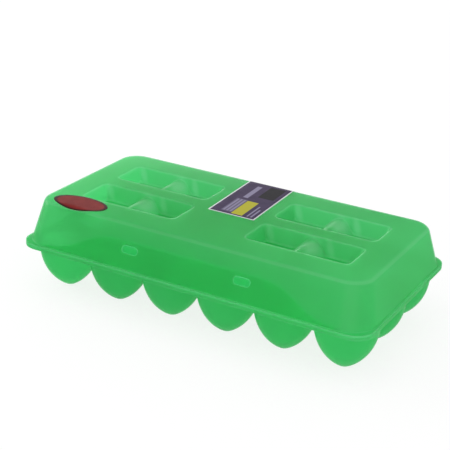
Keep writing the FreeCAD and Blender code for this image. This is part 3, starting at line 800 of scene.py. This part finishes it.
def noise(tree, place, scale, detail):
    """Noise fixed to the piece."""
    made = node(tree, "ShaderNodeTexNoise", Scale=scale, Detail=detail)
    tree.links.new(place.outputs["Object"], made.inputs["Vector"])
    return made.outputs["Fac"]


def raised(tree, height, strength, distance):
    """Surface direction over a fine relief."""
    made = node(tree, "ShaderNodeBump", Strength=strength, Distance=distance)
    tree.links.new(height, made.inputs["Height"])
    return made.outputs["Normal"]


def two_tone(tree, value, ends, colors):
    """Colour that runs from the first to the second as the value goes between two ends."""
    made = node(tree, "ShaderNodeValToRGB")
    for element, position, color in zip(made.color_ramp.elements, ends, colors):
        element.position = position
        element.color = color + (1,)
    tree.links.new(value, made.inputs["Fac"])
    return made.outputs["Color"]


def mix_color(tree, share, below, above):
    """A plain colour over the colour of an output."""
    mix = node(tree, "ShaderNodeMix", data_type="RGBA")
    mix.inputs[MIX_ABOVE].default_value = above + (1,)
    tree.links.new(share, mix.inputs["Factor"])
    tree.links.new(below, mix.inputs[MIX_BELOW])
    return mix.outputs[MIX_RESULT]


def mix_shader(tree, share, first, second):
    """Two shaders mixed. The second one's share is a number or an output."""
    mix = node(tree, "ShaderNodeMixShader")
    fill(tree, mix.inputs["Fac"], share)
    tree.links.new(first.outputs[0], mix.inputs[1])
    tree.links.new(second.outputs[0], mix.inputs[2])
    return mix


# Green plastic: the light that each part lets through, and the share of clear sight

LID_TINT = (0.535, 0.89, 0.66)
LID_CLEAR = 0.35
TRAY_TINT = (0.45, 0.885, 0.61)
TRAY_CLEAR = 0.15
FLAP_TINT = (0.56, 0.985, 0.78)
FLAP_CLEAR = 0.2
HAZE = (0.05, 0.6, 0.18, 1)
HAZE_SHARE = 0.1
# Slow change of tint in the flow of the plastic: noise scale and detail, its ends and the two shades.
FLOW_NOISE = (14.0, 3.0)
FLOW_ENDS = (0.3, 0.7)
FLOW_SHADES = (0.97, 1.02)
# Frosted grain: noise scale and detail, strength and depth of its relief, and its range of roughness.
GRAIN_NOISE = (900.0, 2.0)
GRAIN_RELIEF = (0.02, 0.0002)
PLASTIC_ROUGH = (0.18, 0.28)
# Gloss seen straight on and at a grazing angle, and how late it rises.
GLOSS = (0.012, 0.3)
GLOSS_POWER = 5.0
# White of the painted highlights, mixed into the lid's tint.
HIGHLIGHT_TINT = (1.0, 1.0, 1.0)
# Strength of the painted highlight along rounded edges.
EDGE_HIGHLIGHT_SHARE = 0.45
# Upward share of the surface direction where rounded edges get a painted highlight: from, to and softness.
EDGE_HIGHLIGHT_SLOPE = (0.6, 0.92, 0.08)
# Painted highlights within one recess, on the ridge's crest and in two pocket corners, in millimetres:
# middle, half sizes, turn in degrees and strength.
HIGHLIGHT_SPOTS = [(1.5 * PITCH, 0.5 * PITCH + 5, 12, 16, 0, 1.0), (37, 38, 7, 2.6, -27, 0.6),
              (86.5, 38, 7, 2.6, -27, 0.6)]
# Share of a painted highlight spot's size that keeps its full strength.
HIGHLIGHT_CORE = 0.2


def painted_highlights(tree, place):
    """Painted highlights on the lid: white mixed in most on the ridges' crests, some in pocket corners and
    along rounded edges.
    """
    link = tree.links.new
    middle = node(tree, "ShaderNodeVectorMath", operation="SUBTRACT")
    middle.inputs[1].default_value = (0, MIDDLE * MM, 0)
    link(place.outputs["Object"], middle.inputs[0])
    recess = node(tree, "ShaderNodeVectorMath", operation="WRAP")
    recess.inputs[1].default_value = (3 * PITCH * MM, PITCH * MM, 1)
    recess.inputs[2].default_value = (0, 0, 0)
    link(middle.outputs[0], recess.inputs[0])
    across = axes_of(tree, middle.outputs[0])["Y"]
    in_recesses = window(tree, across, -PITCH * MM, PITCH * MM, 2 * MM)
    total = 0.0
    # Painted highlight spots on each ridge's crest and in the pocket corners.
    for x, y, half_x, half_y, turn, amount in HIGHLIGHT_SPOTS:
        spot = node(tree, "ShaderNodeMapping", vector_type="TEXTURE")
        spot.inputs["Location"].default_value = (x * MM, y * MM, 0)
        spot.inputs["Rotation"].default_value = (0, 0, math.radians(turn))
        spot.inputs["Scale"].default_value = (half_x * MM, half_y * MM, 1)
        link(recess.outputs[0], spot.inputs["Vector"])
        away = node(tree, "ShaderNodeVectorMath", operation="LENGTH")
        link(spot.outputs[0], away.inputs[0])
        fade = ramp(tree, away.outputs["Value"], (HIGHLIGHT_CORE, amount), (1.0, 0.0), smooth=True)
        total = calculate(tree, "MAXIMUM", total, fade)
    spot_highlights = calculate(tree, "MULTIPLY", in_recesses, total)
    # Painted highlight along rounded edges, picked by the upward share of the surface direction.
    edge_highlights = window(tree, axes_of(tree, place.outputs["Normal"])["Z"], *EDGE_HIGHLIGHT_SLOPE)
    return calculate(tree, "MULTIPLY_ADD", edge_highlights, EDGE_HIGHLIGHT_SHARE, spot_highlights)


def green_plastic(name, tint, clear, paint_highlights=False):
    """Frosted see-through sheet: light scattered through it, a little clear sight and a soft gloss, with
    painted highlights where asked.
    """
    material, tree, output = nodes_of(name)
    link = tree.links.new
    place = node(tree, "ShaderNodeTexCoord")
    deep = tuple(c * FLOW_SHADES[0] for c in tint)
    pale = tuple(min(1, c * FLOW_SHADES[1]) for c in tint)
    color = two_tone(tree, noise(tree, place, *FLOW_NOISE), FLOW_ENDS, (deep, pale))
    # Painted highlights: white mixed into the lid's tint on the ridges' crests, in pocket corners and along
    # rounded edges.
    if paint_highlights:
        color = mix_color(tree, painted_highlights(tree, place), color, HIGHLIGHT_TINT)
    glow = node(tree, "ShaderNodeBsdfTranslucent")
    link(color, glow.inputs["Color"])
    haze = node(tree, "ShaderNodeBsdfDiffuse", Color=HAZE)
    body = mix_shader(tree, HAZE_SHARE, glow, haze)
    sight = node(tree, "ShaderNodeBsdfTransparent", Color=tint + (1,))
    sheet = mix_shader(tree, clear, body, sight)
    grain = noise(tree, place, *GRAIN_NOISE)
    gloss = node(tree, "ShaderNodeBsdfGlossy")
    link(ramp(tree, grain, (0.0, PLASTIC_ROUGH[0]), (1.0, PLASTIC_ROUGH[1])), gloss.inputs["Roughness"])
    link(raised(tree, grain, *GRAIN_RELIEF), gloss.inputs["Normal"])
    angle = node(tree, "ShaderNodeLayerWeight", Blend=0.5)
    steep = calculate(tree, "POWER", angle.outputs["Facing"], GLOSS_POWER)
    mirror = ramp(tree, steep, (0.0, GLOSS[0]), (1.0, GLOSS[1]))
    skin = mix_shader(tree, mirror, sheet, gloss)
    link(skin.outputs[0], output.inputs["Surface"])
    return material


# Printed papers

# Paper fibres: noise scale and detail, strength and depth of their relief, and their range of roughness.
FIBRE_NOISE = (700.0, 4.0)
FIBRE_RELIEF = (0.08, 0.0001)
PAPER_ROUGH = (0.28, 0.45)
PAPER_SHINE = 0.02
# Uneven ink: noise scale and detail, and its ends.
INK_NOISE = (90.0, 5.0)
INK_ENDS = (0.35, 0.65)
PAPER_BACK = (0.7, 0.7, 0.68)
# Upward share of the surface direction on a paper's back: from, to and softness.
PAPER_BACK_SIDE = (-2.0, -0.2, 0.1)
LABEL_GROUND = ((0.032, 0.021, 0.055), (0.046, 0.03, 0.072))
LABEL_WHITE = (0.55, 0.57, 0.59)
LABEL_PALE = (0.2, 0.18, 0.27)
LABEL_PANEL = (0.1, 0.085, 0.14)
LABEL_YELLOW = (0.36, 0.34, 0.02)
LABEL_DARK = (0.008, 0.007, 0.01)
# Printed areas of the label in millimetres: left, right, front, rear and colour.
LABEL_AREAS = [(1.7, 15.3, 35.0, 60.0, LABEL_DARK), (-8.5, -4.3, 29.0, 56.0, LABEL_PALE),
               (-11.3, -1.7, -3.4, 25.0, LABEL_PANEL), (-10.2, -8.6, -2.4, 24.0, LABEL_PALE),
               (-7.3, -5.7, -2.4, 24.0, LABEL_PALE), (-4.3, -2.7, -2.4, 24.0, LABEL_PALE),
               (-1.4, 8.2, -5.4, 24.0, LABEL_YELLOW), (11.6, 12.9, -4.4, 18.0, LABEL_PALE),
               (14.7, 16.1, -4.4, 12.0, LABEL_PALE)]
PRINT_SOFT = 0.25
EDGE_SOFT = 0.15
# A place behind the whole keeper, in millimetres.
FAR_REAR = 1000.0
STICKER_GROUND = ((0.15, 0.013, 0.012), (0.19, 0.02, 0.018))
STICKER_INK = (0.035, 0.012, 0.012)
# Dark line of the sticker in shares of its half sizes: from, to and softness.
STICKER_LINE = (0.88, 1.2, 0.03)


def varnished_paper(tree, output, color, place):
    """Printed paper under a thin varnish, with a faint fibre grain and a blank white back."""
    link = tree.links.new
    back = window(tree, axes_of(tree, place.outputs["Normal"])["Z"], *PAPER_BACK_SIDE)
    fibre = noise(tree, place, *FIBRE_NOISE)
    surface = node(tree, "ShaderNodeBsdfPrincipled")
    surface.inputs["Specular IOR Level"].default_value = PAPER_SHINE
    link(mix_color(tree, back, color, PAPER_BACK), surface.inputs["Base Color"])
    link(ramp(tree, fibre, (0.0, PAPER_ROUGH[0]), (1.0, PAPER_ROUGH[1])), surface.inputs["Roughness"])
    link(raised(tree, fibre, *FIBRE_RELIEF), surface.inputs["Normal"])
    link(surface.outputs[0], output.inputs["Surface"])


def printed_ground(tree, place, colors):
    """Ground colour that varies a little, as print does."""
    return two_tone(tree, noise(tree, place, *INK_NOISE), INK_ENDS, colors)


def rectangle(tree, across, along, sides, ends, soft):
    """1 inside a rectangle given in millimetres."""
    in_width = window(tree, across, sides[0] * MM, sides[1] * MM, soft * MM)
    in_length = window(tree, along, ends[0] * MM, ends[1] * MM, soft * MM)
    return calculate(tree, "MULTIPLY", in_width, in_length)


def label_print():
    """Violet label with a white edge on three sides, a yellow patch, pale bars and a dark picture area."""
    material, tree, output = nodes_of("label_print")
    place = node(tree, "ShaderNodeTexCoord")
    axes = axes_of(tree, place.outputs["Object"])
    along = axes["Y"]
    askew = calculate(tree, "MULTIPLY_ADD", along, LABEL_LEAN, axes["X"])
    shift = LABEL_LEAN * (LABEL_MIDDLE + MIDDLE)
    color = printed_ground(tree, place, LABEL_GROUND)
    for left, right, front, rear, ink in LABEL_AREAS:
        sides = (left + shift, right + shift)
        area = rectangle(tree, askew, along, sides, (front + MIDDLE, rear + MIDDLE), PRINT_SOFT)
        color = mix_color(tree, area, color, ink)
    inside = LABEL_HALF - LABEL_EDGE
    ends = (LABEL_EDGE - LABEL_FRONT + MIDDLE, FAR_REAR)
    inner = rectangle(tree, askew, along, (shift - inside, shift + inside), ends, EDGE_SOFT)
    edge = calculate(tree, "SUBTRACT", 1.0, inner)
    varnished_paper(tree, output, mix_color(tree, edge, color, LABEL_WHITE), place)
    return material


def sticker_print():
    """Plain red oval with a dark line inside its edge."""
    material, tree, output = nodes_of("sticker_print")
    link = tree.links.new
    place = node(tree, "ShaderNodeTexCoord")
    centered = node(tree, "ShaderNodeMapping", vector_type="TEXTURE")
    center = (STICKER_CENTER[0] * MM, (STICKER_CENTER[1] + MIDDLE) * MM, 0)
    centered.inputs["Location"].default_value = center
    centered.inputs["Scale"].default_value = (STICKER_HALF[0] * MM, STICKER_HALF[1] * MM, 1)
    link(place.outputs["Object"], centered.inputs["Vector"])
    flat = node(tree, "ShaderNodeVectorMath", operation="MULTIPLY")
    flat.inputs[1].default_value = (1, 1, 0)
    link(centered.outputs[0], flat.inputs[0])
    radius = node(tree, "ShaderNodeVectorMath", operation="LENGTH")
    link(flat.outputs["Vector"], radius.inputs[0])
    line = window(tree, radius.outputs["Value"], *STICKER_LINE)
    color = mix_color(tree, line, printed_ground(tree, place, STICKER_GROUND), STICKER_INK)
    varnished_paper(tree, output, color, place)
    return material


# Stage, light and camera, in metres and watts where nothing else is said

WHITE = (1, 1, 1, 1)
FLOOR_HALF = 6.0
FLOOR_DROP = 0.0002
FLOOR_PAINT = (0.9, 0.9, 0.9, 1)
FLOOR_GLOW = 0.82
# Soft boxes: name, place, target, size and power.
LAMPS = [("top_soft", (-0.3, -0.4, 1.6), (0, 0, 0), (1.0, 1.0), 2),
         ("rear_low", (-0.79, 1.12, 0.34), (0, 0, 0.05), (0.9, 0.3), 2),
         ("left_side", (-1.2, -0.1, 0.3), (0, 0, 0.05), (0.6, 0.4), 5),
         ("front_box", (0.56, -1.05, 0.4), (0, 0, 0.05), (1.28, 0.5), 2)]
# Camera solved from the photograph's outline: azimuth, elevation and roll in degrees, lens and sensor in
# millimetres, and its place in millimetres from the keeper's middle line and the lid's top.
CAMERA_TURNS = (28.866, 22.915, 2.281)
CAMERA_LENS = 96.29
CAMERA_SENSOR = 36
CAMERA_PLACE = (406.32, -750.83, 348.85)
CAMERA_CLIP = (0.05, 20)


def make_stage():
    """White floor that keeps the shadow and looks bright directly, in reflections and through the sheet."""
    mesh = bpy.data.meshes.new("floor")
    corners = [(x * FLOOR_HALF, y * FLOOR_HALF, 0) for x, y in ((-1, -1), (1, -1), (1, 1), (-1, 1))]
    mesh.from_pydata(corners, [], [(0, 1, 2, 3)])
    floor = bpy.data.objects.new("floor", mesh)
    bpy.context.scene.collection.objects.link(floor)
    floor.location.z = -FLOOR_DROP
    material, tree, output = nodes_of("floor_white")
    paint = node(tree, "ShaderNodeBsdfDiffuse", Color=FLOOR_PAINT)
    light = node(tree, "ShaderNodeEmission", Color=WHITE, Strength=1.0)
    path = node(tree, "ShaderNodeLightPath")
    seen = path.outputs["Is Camera Ray"]
    for kind in ("Is Glossy Ray", "Is Transmission Ray"):
        seen = calculate(tree, "MAXIMUM", seen, path.outputs[kind])
    share = calculate(tree, "MULTIPLY", seen, FLOOR_GLOW)
    mix = mix_shader(tree, share, paint, light)
    tree.links.new(mix.outputs[0], output.inputs["Surface"])
    mesh.materials.append(material)


def make_world():
    """Even white light from all sides."""
    world = bpy.data.worlds.new("studio")
    bpy.context.scene.world = world
    world.use_nodes = True
    tree = world.node_tree
    tree.nodes.clear()
    output = tree.nodes.new("ShaderNodeOutputWorld")
    white = node(tree, "ShaderNodeBackground", Color=WHITE, Strength=1.0)
    tree.links.new(white.outputs[0], output.inputs["Surface"])


def area_light(name, place, target, size, power):
    """Rectangular soft box turned to its target."""
    data = bpy.data.lights.new(name, "AREA")
    data.shape = "RECTANGLE"
    data.size, data.size_y = size
    data.energy = power
    lamp = bpy.data.objects.new(name, data)
    bpy.context.scene.collection.objects.link(lamp)
    lamp.location = place
    lamp.rotation_mode = "QUATERNION"
    lamp.rotation_quaternion = (Vector(target) - Vector(place)).to_track_quat("-Z", "Y")


def make_camera():
    """Camera that sees the keeper as the photograph does."""
    azimuth, elevation, roll = (math.radians(a) for a in CAMERA_TURNS)
    back = Vector((math.sin(azimuth) * math.cos(elevation), -math.cos(azimuth) * math.cos(elevation),
                   math.sin(elevation)))
    right = (-back).cross(Vector((0, 0, 1))).normalized()
    up = right.cross(-back)
    level_right = right * math.cos(roll) + up * math.sin(roll)
    level_up = up * math.cos(roll) - right * math.sin(roll)
    data = bpy.data.cameras.new("camera")
    data.sensor_width = CAMERA_SENSOR
    data.lens = CAMERA_LENS
    data.clip_start, data.clip_end = CAMERA_CLIP
    camera = bpy.data.objects.new("camera", data)
    bpy.context.scene.collection.objects.link(camera)
    turn = Matrix((level_right, level_up, back)).transposed()
    place = Vector((CAMERA_PLACE[0], CAMERA_PLACE[1] + MIDDLE, CAMERA_PLACE[2] + LID_TOP)) * MM
    camera.matrix_world = Matrix.Translation(place) @ turn.to_4x4()
    bpy.context.scene.camera = camera


# The lid's material carries the painted highlights.
lid_green = green_plastic("lid_green", LID_TINT, LID_CLEAR, paint_highlights=True)
tray_green = green_plastic("tray_green", TRAY_TINT, TRAY_CLEAR)
flap_green = green_plastic("flap_green", FLAP_TINT, FLAP_CLEAR)
make_lid(lid_green)
make_tray(tray_green)
make_flap(flap_green)
make_rear_film(tray_green)
make_label(label_print())
make_sticker(sticker_print())
make_stage()
make_world()
make_camera()
for lamp in LAMPS:
    area_light(*lamp)
bpy.context.scene.view_settings.view_transform = "Standard"
